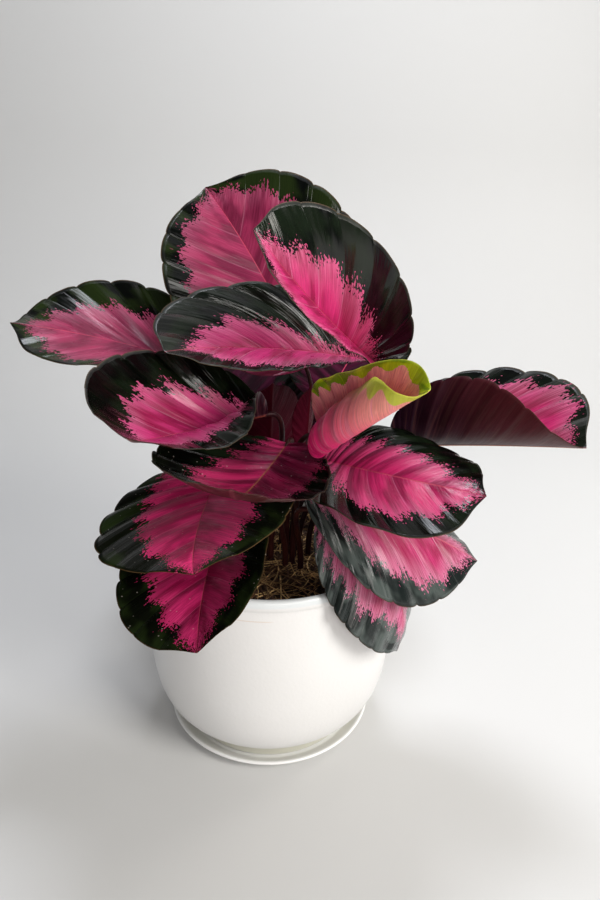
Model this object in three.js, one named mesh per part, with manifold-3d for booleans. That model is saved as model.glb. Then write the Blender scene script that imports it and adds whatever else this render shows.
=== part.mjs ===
// Potted calathea: a round-bellied white pot on its saucer, soil with straw mulch, and broad
// two-coloured leaves on long stalks. Millimetres, +Z up, origin under the saucer's centre.
import * as THREE from 'three';
import Module from 'manifold-3d';

const wasm = await Module();
wasm.setup();
const { Manifold, CrossSection } = wasm;

const gap = 0.3;            // free space left between pieces that touch
const rimHeight = 167.5;    // top of the pot's lip
const soilTop = 148;        // soil lies about 20 mm below the lip
const soilFloor = 26;       // inside floor of the pot
const matThickness = 2;     // straw layer on the soil
const holeDepth = 30;       // how deep the stalks stand in the soil
const stalkFoot = 2.4;      // stalk radius in the soil
const stalkNeck = 1.7;      // stalk radius at the blade
const bladeThickness = 0.9;
const ribCount = 7;         // waves of the blade on each side of the midrib
const rows = 2 * ribCount;  // grid rows, one crest and one trough for each wave
const roundSides = 40;
const strawCount = 34;

// ---------------------------------------------------------------- colours
const colour = {
  glaze: 0xeceae6, soil: 0x2c2019, straw: 0x8a6a43, leaf: 0xa83468, youngLeaf: 0xd86c7c,
};

function finish(hex, roughness) {
  return new THREE.MeshStandardMaterial({ color: hex, roughness, metalness: 0 });
}

// ---------------------------------------------------------------- solids
function solidFromArrays(points, triangles) {
  return new Manifold(new wasm.Mesh({
    numProp: 3, vertProperties: new Float32Array(points), triVerts: new Uint32Array(triangles),
  }));
}

function meshFromSolid(solid, name, material) {
  const out = solid.getMesh();
  const geometry = new THREE.BufferGeometry();
  geometry.setAttribute('position', new THREE.BufferAttribute(new Float32Array(out.vertProperties), 3));
  geometry.setIndex(new THREE.BufferAttribute(new Uint32Array(out.triVerts), 1));
  geometry.computeVertexNormals();
  const mesh = new THREE.Mesh(geometry, material);
  mesh.name = name;
  return mesh;
}

function turned(profile) {
  return new CrossSection([profile]).revolve(roundSides);
}

function rod(radius, bottom, top, x, y) {
  return Manifold.cylinder(top - bottom, radius, radius, 8).translate([x, y, bottom]);
}

// ---------------------------------------------------------------- random draw
function seeded(seed) {
  let state = seed;
  return () => {
    state = (state * 1664525 + 1013904223) % 4294967296;
    return state / 4294967296;
  };
}

// ---------------------------------------------------------------- pot and saucer
function saucer() {
  const profile = [
    [0, 0], [65, 0], [72, 1.2], [79.5, 4.4], [85, 8.4], [86, 10], [85, 11.2], [83, 10.8],
    [78.5, 7.4], [74.5, 4.6], [72.8, 4], [0, 4],
  ];
  return turned(profile);
}

function pot() {
  const foot = 4 + gap;
  const outside = [
    [65, foot], [70.5, foot], [72, 5.6], [73, 15], [76.5, 18], [81, 21], [91, 31.5], [97, 48],
    [99.7, 69], [100, 90], [99.5, 112], [98.5, 133], [97, 150], [96.2, 158.5], [97.2, 160.2],
    [97.2, 165], [96, rimHeight - 0.6], [94, rimHeight],
  ];
  const inside = [
    [92.4, rimHeight - 0.6], [91.4, 165], [91.5, 158], [93.5, 133], [94.8, 100], [94.6, 70],
    [92, 50], [86.5, 36], [78, 28], [70, soilFloor], [5, soilFloor], [5, 20], [62, 18], [64, 15],
  ];
  return turned([...outside, ...inside]);
}

function soilBody() {
  const profile = [
    [0, soilFloor + gap], [69.8, soilFloor + gap], [77.6, 28.4], [86, 36.3], [91.5, 50.2],
    [94.1, 70], [94.3, 100], [93, 133], [91.6, soilTop - 2], [88, soilTop - 0.4], [60, soilTop],
    [0, soilTop],
  ];
  return turned(profile);
}

// The straw layer: a thin mat with single straws lying criss-cross, half sunk into it.
function strawMat() {
  const bottom = soilTop + gap;
  const top = bottom + matThickness;
  const mat = turned([
    [0, bottom], [60, bottom], [84, bottom], [86.5, bottom + 0.6], [84, top - 0.3], [60, top], [0, top],
  ]);
  const draw = seeded(11);
  const straws = [];
  for (let i = 0; i < strawCount; i += 1) {
    const length = 22 + 30 * draw();
    const radius = 0.9 + 0.4 * draw();
    const spin = 360 * draw();
    const reach = 76 - length / 2;
    const angle = 2 * Math.PI * draw();
    const distance = reach * Math.sqrt(draw());
    straws.push(Manifold.cylinder(length, radius, 0.7 * radius, 3, true)
      .rotate([0, -90, spin])
      .translate([distance * Math.cos(angle), distance * Math.sin(angle), top]));
  }
  return Manifold.union([mat, ...straws]);
}

// ---------------------------------------------------------------- leaves
const radians = Math.PI / 180;
const add = (a, b, k = 1) => [a[0] + k * b[0], a[1] + k * b[1], a[2] + k * b[2]];
const cross = (a, b) => [
  a[1] * b[2] - a[2] * b[1], a[2] * b[0] - a[0] * b[2], a[0] * b[1] - a[1] * b[0],
];
const mix = (a, b, t) => a.map((value, k) => value * (1 - t) + b[k] * t);
const unit = (a) => a.map((value) => value / Math.hypot(...a));

// Direction, side and normal of the midrib at the share `along` of its length.
function ribFrame(leaf, along) {
  const heading = radians * (leaf.heading + leaf.sideBend * along);
  const pitch = radians * (leaf.pitch - leaf.droop * along);
  const level = [-Math.sin(heading), Math.cos(heading), 0];
  const forward = [Math.cos(pitch) * level[1], -Math.cos(pitch) * level[0], Math.sin(pitch)];
  const raised = cross(forward, level);
  const roll = radians * (leaf.roll + leaf.twist * along);
  const side = add(level.map((v) => v * Math.cos(roll)), raised, Math.sin(roll));
  const normal = add(raised.map((v) => v * Math.cos(roll)), level, -Math.sin(roll));
  return { forward, side, normal };
}

// The midrib as points and frames at even steps.
function midrib(leaf, steps = 48) {
  const stations = [{ point: leaf.base, ...ribFrame(leaf, 0) }];
  for (let i = 1; i <= steps; i += 1) {
    const frame = ribFrame(leaf, i / steps);
    const before = stations[i - 1];
    const stride = mix(before.forward, frame.forward, 0.5);
    stations.push({ point: add(before.point, stride, leaf.length / steps), ...frame });
  }
  return stations;
}

function stationAt(stations, along) {
  const place = Math.min(Math.max(along, 0), 1) * (stations.length - 1);
  const low = Math.min(Math.floor(place), stations.length - 2);
  const t = place - low;
  const [a, b] = [stations[low], stations[low + 1]];
  return {
    point: mix(a.point, b.point, t), side: mix(a.side, b.side, t), normal: mix(a.normal, b.normal, t),
  };
}

// Flat leaf: a side vein leaves the midrib at `vein` and arcs forward to the margin.
function flatPoint(leaf, vein, across) {
  const share = Math.abs(across);
  const start = leaf.length * vein ** 1.55;
  const marginX = leaf.length * (1 - Math.cos(Math.PI * vein)) / 2;
  const widest = leaf.halfWidth * (across > 0 ? leaf.rightShare : 1);
  const marginY = widest * Math.max(Math.sin(Math.PI * vein), 0) ** 0.86;
  const bendX = start + 0.3 * (marginX - start);
  const a = (1 - share) ** 2;
  const b = 2 * share * (1 - share);
  const c = share ** 2;
  return [a * start + b * bendX + c * marginX, Math.sign(across) * (0.55 * b + c) * marginY];
}

// Folds the flat point up from the midrib and curls it, then adds the wave between the veins.
function bladePoint(leaf, stations, vein, across, wave) {
  const [x, y] = flatPoint(leaf, vein, across);
  const along = x / leaf.length;
  const left = y < 0;
  const fold = radians * ((left ? leaf.foldLeft : leaf.foldRight) + leaf.unfold * along);
  let curl = radians * (left ? leaf.curlLeft : leaf.curlRight + leaf.tipCurl * along);
  if (Math.abs(curl) < 0.02) curl = 0.02;
  const bend = curl / leaf.halfWidth;
  const reach = Math.abs(y);
  const turn = fold + bend * reach;
  const outward = (Math.sin(turn) - Math.sin(fold)) / bend;
  const upward = (Math.cos(fold) - Math.cos(turn)) / bend;
  const { point, side, normal } = stationAt(stations, along);
  const swing = Math.sign(y) || 1;
  const bulge = wave * Math.min(1, 1.6 * Math.abs(across)) * Math.sin(Math.PI * vein) ** 0.5;
  let out = add(point, side, swing * outward);
  out = add(out, normal, upward);
  const faceUp = add(normal.map((v) => v * Math.cos(turn)), side, -swing * Math.sin(turn));
  return add(out, faceUp, bulge);
}

// Grid of the blade's middle surface; both faces are set off from it and share its triangles.
function blade(leaf) {
  const stations = midrib(leaf);
  const { columns } = leaf;
  const ring = [];
  for (let i = 1; i < rows; i += 1) {
    const wave = leaf.wave * (i % 2 ? 1 : -1);
    const line = [];
    for (let j = -columns; j <= columns; j += 1) {
      line.push(bladePoint(leaf, stations, i / rows, j / columns, j === 0 ? 0 : wave));
    }
    ring.push(line);
  }
  const heel = bladePoint(leaf, stations, 0, 0, 0);
  const tip = add(bladePoint(leaf, stations, 1, 0, 0), ribFrame(leaf, 1).forward, leaf.point);
  const points = [...ring.flat(), heel, tip];
  const width = 2 * columns + 1;
  const at = (i, j) => i * width + j;
  const [heelIndex, tipIndex] = [points.length - 2, points.length - 1];
  const top = [];
  for (let j = 0; j < width - 1; j += 1) {
    top.push([heelIndex, at(0, j), at(0, j + 1)]);
    top.push([tipIndex, at(rows - 2, j + 1), at(rows - 2, j)]);
  }
  for (let i = 0; i < rows - 2; i += 1) {
    for (let j = 0; j < width - 1; j += 1) {
      const corners = [at(i, j), at(i + 1, j), at(i + 1, j + 1), at(i, j + 1)];
      const turnOver = j < columns;
      if (turnOver) top.push([corners[0], corners[1], corners[3]], [corners[1], corners[2], corners[3]]);
      else top.push([corners[0], corners[1], corners[2]], [corners[0], corners[2], corners[3]]);
    }
  }
  const rim = [];
  for (let i = 0; i < rows - 1; i += 1) rim.push(at(i, 0));
  rim.push(tipIndex);
  for (let i = rows - 2; i >= 0; i -= 1) rim.push(at(i, width - 1));
  rim.push(heelIndex);
  return thicken(points, top, rim, bladeThickness / 2);
}

// Sets the grid off by half the thickness both ways and closes it round its rim.
function thicken(points, top, rim, half) {
  const normals = points.map(() => [0, 0, 0]);
  for (const [a, b, c] of top) {
    const face = cross(add(points[b], points[a], -1), add(points[c], points[a], -1));
    for (const k of [a, b, c]) normals[k] = add(normals[k], face);
  }
  const up = normals.map(unit);
  const count = points.length;
  const both = [
    ...points.map((p, k) => add(p, up[k], half)), ...points.map((p, k) => add(p, up[k], -half)),
  ];
  const triangles = [...top, ...top.map(([a, b, c]) => [a + count, c + count, b + count])];
  rim.forEach((a, k) => {
    const b = rim[(k + 1) % rim.length];
    triangles.push([b, a, a + count], [b, a + count, b + count]);
  });
  return solidFromArrays(both.flat(), triangles.flat());
}

// The stalk: upright in its hole, then one smooth arc into the blade's heel.
function stalk(leaf) {
  const foot = [...leaf.foot, soilTop - holeDepth + gap];
  const collar = [...leaf.foot, soilTop + 6];
  const { forward } = ribFrame(leaf, 0);
  const end = add(leaf.base, forward, 10);
  const reach = Math.hypot(...add(leaf.base, collar, -1));
  const rise = add(collar, [0, 0, 1], 0.4 * reach);
  const into = add(add(leaf.base, forward, -leaf.swing * reach), [0, 0, leaf.lift]);
  const arc = new THREE.CubicBezierCurve3(
    ...[collar, rise, into, leaf.base].map((p) => new THREE.Vector3(...p)));
  const centres = [foot, ...arc.getPoints(8).map((p) => p.toArray()), end];
  return tube(centres, 6);
}

// A tube along the centres, thinner towards the neck and drawn in at its end inside the blade.
function tube(centres, sides) {
  const points = [];
  const triangles = [];
  let across = [1, 0, 0];
  centres.forEach((centre, i) => {
    const before = centres[Math.max(i - 1, 0)];
    const after = centres[Math.min(i + 1, centres.length - 1)];
    const along = unit(add(after, before, -1));
    const second = unit(cross(along, across));
    across = unit(cross(second, along));
    const share = i / (centres.length - 1);
    const radius = (stalkFoot + (stalkNeck - stalkFoot) * share) * (share === 1 ? 0.4 : 1);
    for (let k = 0; k < sides; k += 1) {
      const angle = 2 * Math.PI * k / sides;
      const spoke = add(across.map((v) => v * Math.cos(angle)), second, Math.sin(angle));
      points.push(add(centre, spoke, radius));
    }
  });
  const last = (centres.length - 1) * sides;
  for (let i = 0; i < centres.length - 1; i += 1) {
    for (let k = 0; k < sides; k += 1) {
      const [a, b] = [i * sides + k, i * sides + (k + 1) % sides];
      triangles.push([a, b, b + sides], [a, b + sides, a + sides]);
    }
  }
  for (let k = 1; k < sides - 1; k += 1) {
    triangles.push([0, k + 1, k], [last, last + k, last + k + 1]);
  }
  return solidFromArrays(points.flat(), triangles.flat());
}

const usual = {
  pitch: 0, roll: 0, droop: 0, sideBend: 0, twist: 0, foldLeft: 15, foldRight: 15, unfold: -10,
  curlLeft: 0, curlRight: 0, tipCurl: 0, rightShare: 1, wave: 1.3, point: 5, swing: 0.35,
  lift: 0, columns: 3,
};

// Headings turn from +X (the right side) through +Y (the back). tipCurl is what the right half's
// curl gains from heel to tip, rightShare its width against the left half's; columns is the grid's
// count on each side of the midrib.
const leaves = {
  leaf_back_top: {
    base: [25, 70, 285], foot: [8, 14], heading: 148, pitch: 62, roll: -30, droop: 15, sideBend: 5,
    length: 166, halfWidth: 87, foldLeft: 25, foldRight: 5, unfold: 0, curlRight: 5,
  },
  leaf_top_right: {
    base: [79, 28, 301], foot: [22, 8], heading: 220, pitch: 36, roll: -100, droop: -5, sideBend: 15,
    twist: 25, length: 162, halfWidth: 59, foldLeft: 60, foldRight: 80, unfold: -60, curlLeft: 22,
    curlRight: 20,
  },
  leaf_upper_left: {
    base: [74, 54, 297], foot: [16, 18], heading: 192, pitch: 12, roll: -36, droop: 5, sideBend: 50,
    twist: 15, length: 182, halfWidth: 54, foldLeft: 50, foldRight: 50, unfold: -40, curlLeft: -5,
    curlRight: -10,
  },
  leaf_far_left: {
    base: [-47, 53, 284], foot: [-20, 14], heading: 208, pitch: 26, roll: -10, droop: 15, sideBend: -10,
    length: 154, halfWidth: 68, unfold: -30, curlLeft: 60, curlRight: 20,
  },
  leaf_left: {
    base: [-2, -32, 279], foot: [-4, -4], heading: 198, pitch: -8, roll: 16, droop: -35, sideBend: 85,
    twist: -35, swing: 0.2, length: 150, halfWidth: 62, foldLeft: 40, foldRight: 35, unfold: -30,
    curlLeft: 60,
  },
  leaf_front: {
    base: [13, -45, 263], foot: [0, -8], heading: 244, pitch: -20, roll: 10, droop: -60, sideBend: 30,
    twist: -15, swing: 0.2, length: 138, halfWidth: 62, rightShare: 0.8, foldRight: 4, curlLeft: 30,
    curlRight: 25,
  },
  leaf_lower_left: {
    base: [-36, 10, 221], foot: [-22, 2], heading: 260, pitch: -4, roll: 18, droop: -15, sideBend: 20,
    twist: -10, length: 172, halfWidth: 68, foldLeft: 25, foldRight: 24, unfold: -15, curlLeft: -20,
    curlRight: -15,
  },
  leaf_over_rim_left: {
    base: [-31, -32, 194], foot: [-18, -12], heading: 262, pitch: 0, roll: 24, sideBend: 15, twist: -5,
    length: 146, halfWidth: 56, foldLeft: 30, foldRight: 35, unfold: -25, curlLeft: 20, curlRight: 5,
  },
  leaf_right: {
    base: [38, -32, 245], foot: [18, -6], heading: -50, pitch: 10, roll: 22, droop: 10, sideBend: 25,
    lift: 15, length: 120, halfWidth: 64, foldLeft: 18, foldRight: 30, unfold: -30, curlLeft: 35,
    curlRight: -65,
  },
  leaf_lower_right: {
    base: [22, -59, 234], foot: [12, -20], heading: 14, pitch: -18, roll: 16, droop: 15, sideBend: -10,
    twist: 10, length: 148, halfWidth: 62, foldLeft: 5, foldRight: 5, unfold: -25, curlLeft: -25,
    curlRight: -20,
  },
  leaf_over_rim_right: {
    base: [35, -64, 220], foot: [24, -24], heading: -2, pitch: -20, roll: 28, droop: 80, twist: -5,
    length: 138, halfWidth: 52, foldLeft: -20, foldRight: -10, unfold: 10, curlLeft: -25, curlRight: -15,
  },
  leaf_far_right: {
    base: [96, 18, 238], foot: [30, 0], heading: -22, pitch: 12, roll: 12, droop: -5, sideBend: -35,
    length: 146, halfWidth: 68, foldLeft: 40, foldRight: 45, unfold: -10, curlLeft: 85, curlRight: -15,
  },
  leaf_small: {
    base: [-4, 30, 205], foot: [-4, 12], heading: -84, pitch: 70, roll: 10, droop: -5, sideBend: 5,
    twist: 10, length: 86, halfWidth: 32, foldLeft: 5, foldRight: 10, unfold: 5, curlLeft: 5,
    curlRight: 10, wave: 0.6,
  },
  leaf_furled: {
    base: [25, -23.5, 251.5], foot: [17.2, -15.2], heading: -42, pitch: 85, roll: 4, swing: 0.16,
    length: 45, halfWidth: 13, foldLeft: 0, foldRight: 0, unfold: 0, curlLeft: 49, curlRight: 49,
    wave: 0.3,
  },
  leaf_back_left: {
    base: [-14, 72, 238], foot: [0, 26], heading: 118, pitch: 20, droop: 35,
    length: 150, halfWidth: 62,
  },
  leaf_back_right: {
    base: [44, 76, 252], foot: [8, 30], heading: 72, pitch: 24, droop: 30,
    length: 145, halfWidth: 58,
  },
  leaf_back_low: {
    base: [10, 62, 218], foot: [-14, 30], heading: 100, pitch: 25, droop: 30,
    length: 140, halfWidth: 56,
  },
  young_leaf: {
    base: [38.5, -77, 276], foot: [12, -10], heading: -60, pitch: 33, roll: 53, sideBend: -5, twist: -58,
    lift: 40, swing: 0.4, length: 113, halfWidth: 41, foldLeft: -26, foldRight: 54, curlLeft: 224,
    curlRight: 17, tipCurl: 177, wave: 0.6, columns: 9,
  },
};

// ---------------------------------------------------------------- assembly
function drilled(body) {
  const holes = Object.values(leaves).map(({ foot: [x, y] }) => (
    rod(stalkFoot + gap + 0.2, soilTop - holeDepth, soilTop + 12, x, y)));
  return body.subtract(Manifold.union(holes));
}

const plant = new THREE.Group();
plant.name = 'potted_calathea';
plant.add(meshFromSolid(saucer(), 'saucer', finish(colour.glaze, 0.3)));
plant.add(meshFromSolid(pot(), 'pot', finish(colour.glaze, 0.3)));
plant.add(meshFromSolid(drilled(soilBody()), 'soil', finish(colour.soil, 1)));
plant.add(meshFromSolid(drilled(strawMat()), 'straw_mulch', finish(colour.straw, 0.9)));
for (const [name, own] of Object.entries(leaves)) {
  const leaf = { ...usual, ...own };
  const green = name === 'young_leaf' ? colour.youngLeaf : colour.leaf;
  plant.add(meshFromSolid(blade(leaf).add(stalk(leaf)), name, finish(green, 0.35)));
}

export default plant;
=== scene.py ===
import math

import bpy
import numpy as np
from mathutils import Matrix, Vector


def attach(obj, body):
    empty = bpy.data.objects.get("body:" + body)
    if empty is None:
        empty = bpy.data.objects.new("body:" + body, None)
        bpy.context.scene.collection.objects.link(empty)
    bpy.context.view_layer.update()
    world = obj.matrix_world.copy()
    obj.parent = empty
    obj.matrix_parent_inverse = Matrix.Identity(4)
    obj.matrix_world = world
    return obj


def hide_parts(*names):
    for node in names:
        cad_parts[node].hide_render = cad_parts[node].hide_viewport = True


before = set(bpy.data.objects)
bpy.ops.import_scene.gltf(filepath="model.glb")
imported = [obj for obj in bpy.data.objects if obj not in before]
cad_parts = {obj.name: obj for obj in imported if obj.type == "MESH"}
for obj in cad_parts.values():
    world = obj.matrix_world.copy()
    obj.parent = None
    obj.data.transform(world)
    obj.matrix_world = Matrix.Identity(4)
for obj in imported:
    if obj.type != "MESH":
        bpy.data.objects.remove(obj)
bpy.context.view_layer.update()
print("frame loaded")

mm = 0.001
soilTop = 148.0          # mm, level of the soil in the pot
bulges = 9               # of a blade on each side of its midrib, between its side veins


# Helpers for colours, nodes and meshes
def paint(code):
    # an sRGB hex colour as linear light
    parts = [int(code[i:i + 2], 16) / 255 for i in (1, 3, 5)]
    return tuple(c / 12.92 if c <= 0.04045 else ((c + 0.055) / 1.055) ** 2.4 for c in parts) + (1.0,)


def put(tree, kind, feed=(), **settings):
    # one node, its settings, and its sockets filled or linked
    node = tree.nodes.new(kind)
    for key, value in settings.items():
        setattr(node, key, value)
    for key, value in dict(feed).items():
        if isinstance(value, bpy.types.NodeSocket):
            tree.links.new(value, node.inputs[key])
        else:
            node.inputs[key].default_value = value
    return node


def calc(tree, operation, a, b=0.0):
    return put(tree, "ShaderNodeMath", {0: a, 1: b}, operation=operation).outputs[0]


def ramp(tree, value, low, high, lowValue=0.0, highValue=1.0):
    # value below low gives lowValue, above high gives highValue, smooth in between
    return put(tree, "ShaderNodeMapRange", {0: value, 1: low, 2: high, 3: lowValue, 4: highValue},
               interpolation_type="SMOOTHSTEP").outputs[0]


def mixColour(tree, factor, a, b, way="MIX"):
    return put(tree, "ShaderNodeMix", {0: factor, 6: a, 7: b}, data_type="RGBA",
               blend_type=way).outputs[2]


def shadeColour(tree, colour, shade):
    # the colour made lighter or darker by a plain number
    grey = put(tree, "ShaderNodeCombineColor", {0: shade, 1: shade, 2: shade}).outputs[0]
    return mixColour(tree, 1.0, colour, grey, "MULTIPLY")


def noise(tree, vector, scale, detail=2.0, roughness=0.5):
    return put(tree, "ShaderNodeTexNoise",
               {"Vector": vector, "Scale": scale, "Detail": detail, "Roughness": roughness}).outputs[0]


def bump(tree, height, strength, distance=mm):
    return put(tree, "ShaderNodeBump",
               {"Height": height, "Strength": strength, "Distance": distance}).outputs[0]


def readMark(tree, name, output):
    return put(tree, "ShaderNodeAttribute", attribute_name=name).outputs[output]


def groupWith(name, colours, numbers, outputs):
    # an empty shader node group with its sockets; numbers holds (name, value), outputs (name, kind)
    tree = bpy.data.node_groups.new(name, "ShaderNodeTree")
    for label in colours:
        tree.interface.new_socket(label, in_out="INPUT", socket_type="NodeSocketColor")
    for label, value in numbers:
        socket = tree.interface.new_socket(label, in_out="INPUT", socket_type="NodeSocketFloat")
        socket.default_value = value
    for label, kind in outputs:
        tree.interface.new_socket(label, in_out="OUTPUT", socket_type="NodeSocket" + kind)
    return tree, tree.nodes.new("NodeGroupInput").outputs, tree.nodes.new("NodeGroupOutput").inputs


def placeGroup(tree, group, values):
    # the group in a material, with the material's own colours and numbers
    node = tree.nodes.new("ShaderNodeGroup")
    node.node_tree = group
    for label, value in values.items():
        node.inputs[label].default_value = paint(value) if isinstance(value, str) else value
    return node.outputs


def newMaterial(name):
    material = bpy.data.materials.new(name)
    material.use_nodes = True
    return material, material.node_tree, material.node_tree.nodes["Principled BSDF"]


def dress(tree, shader, colour, roughness, normal):
    # links or sets what every finish has
    tree.links.new(colour, shader.inputs["Base Color"])
    tree.links.new(normal, shader.inputs["Normal"])
    if isinstance(roughness, bpy.types.NodeSocket):
        tree.links.new(roughness, shader.inputs["Roughness"])
    else:
        shader.inputs["Roughness"].default_value = roughness


def meshPiece(name, points, faces, materials, node, faceMaterial=None, marks=()):
    # points in mm; faces is a list of whole-number arrays, one row for each face
    mesh = bpy.data.meshes.new(name)
    rows = [row for block in faces for row in block.tolist()]
    mesh.from_pydata((np.asarray(points) * mm).tolist(), [], rows)
    for material in materials:
        mesh.materials.append(material)
    if faceMaterial is not None:
        mesh.polygons.foreach_set("material_index", np.asarray(faceMaterial, dtype=np.int32))
    mesh.polygons.foreach_set("use_smooth", np.ones(len(rows), dtype=bool))
    for label, values in dict(marks).items():
        kind = "FLOAT_VECTOR" if values.ndim == 2 else "FLOAT"
        field = "vector" if values.ndim == 2 else "value"
        mark = mesh.attributes.new(label, kind, "POINT")
        mark.data.foreach_set(field, values.astype(np.float32).ravel())
    mesh.update()
    obj = bpy.data.objects.new(name, mesh)
    bpy.context.scene.collection.objects.link(obj)
    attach(obj, "root")
    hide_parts(node)


# Leaf finishes. A blade's mesh holds three marks: "vein" is (share along the row of side veins, share
# from midrib to margin, the leaf's draw), "place" is (share of the length, mm from the midrib, mm
# inside the pink area), and "tone" is painted light and shade: a factor that draws the surface
# lighter or darker where it lies in light or shade.
upperPattern = {
    # noise: cells across the side veins, cells along them, draw, detail
    "teeth": (110, 7, 0.3, 2), "crumbs": (165, 27, 5.1, 1), "broad": (17, 1.6, 9.0, 2),
    "fine": (430, 3.2, 2.0, 3), "patches": (9, 3, 4.0, 2), "polish": (40, 3, 7.0, 2),
    "pleats": (52, 1.8, 8.0, 2), "leafDraw": 41.0,
    "teethDepth": 15.0, "crumbDepth": 23.0, "borderBlur": 0.25, "paleDepth": 22.0,    # mm
    "midrib": (0.3, 0.75),                                                            # mm
    "vein": (0.008, 0.03), "veinPaint": 0.3, "bulge": (0.0, 0.4),    # shares of the veins' spacing
    "marginLine": (0.988, 0.995), "dullRim": (0.955, 0.98),          # shares of the way to the margin
    "roughness": (0.07, 0.2), "pinkRoughness": 0.2, "rimRoughness": 0.5,
    "dustCells": 170.0, "dustSize": (0.05, 0.1), "dustColour": "#d8cfc6",
    "fineHeight": 0.1, "pleatHeight": 0.95, "creaseDepth": 0.6, "bulgeHeight": 1.3, "ribDepth": 0.25,
}
lowerPattern = {
    # noise as above
    "stripes": (55, 1.2, 3.0, 2), "fine": (380, 2.5, 6.0, 3), "pleats": (60, 2.0, 1.0, 2),
    "leafDraw": 23.0, "stripe": (0.52, 0.68), "stripePaint": 0.5, "limeFrom": (0.62, 0.85),
    "midrib": (1.0, 1.9), "borderBlur": 0.6,    # mm
    "fineHeight": 0.12, "pleatHeight": 0.4, "relief": 0.8,
}


def veinStreaks(tree, vein, pattern, name):
    # noise drawn out along the side veins, another one for each leaf
    cellsAcross, cellsAlong, draw, detail = pattern[name]
    spot = put(tree, "ShaderNodeVectorMath",
               {0: vein, 1: (cellsAcross, cellsAlong, pattern["leafDraw"]), 2: (draw, draw, draw)},
               operation="MULTIPLY_ADD").outputs[0]
    return noise(tree, spot, 1.0, detail)


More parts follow.
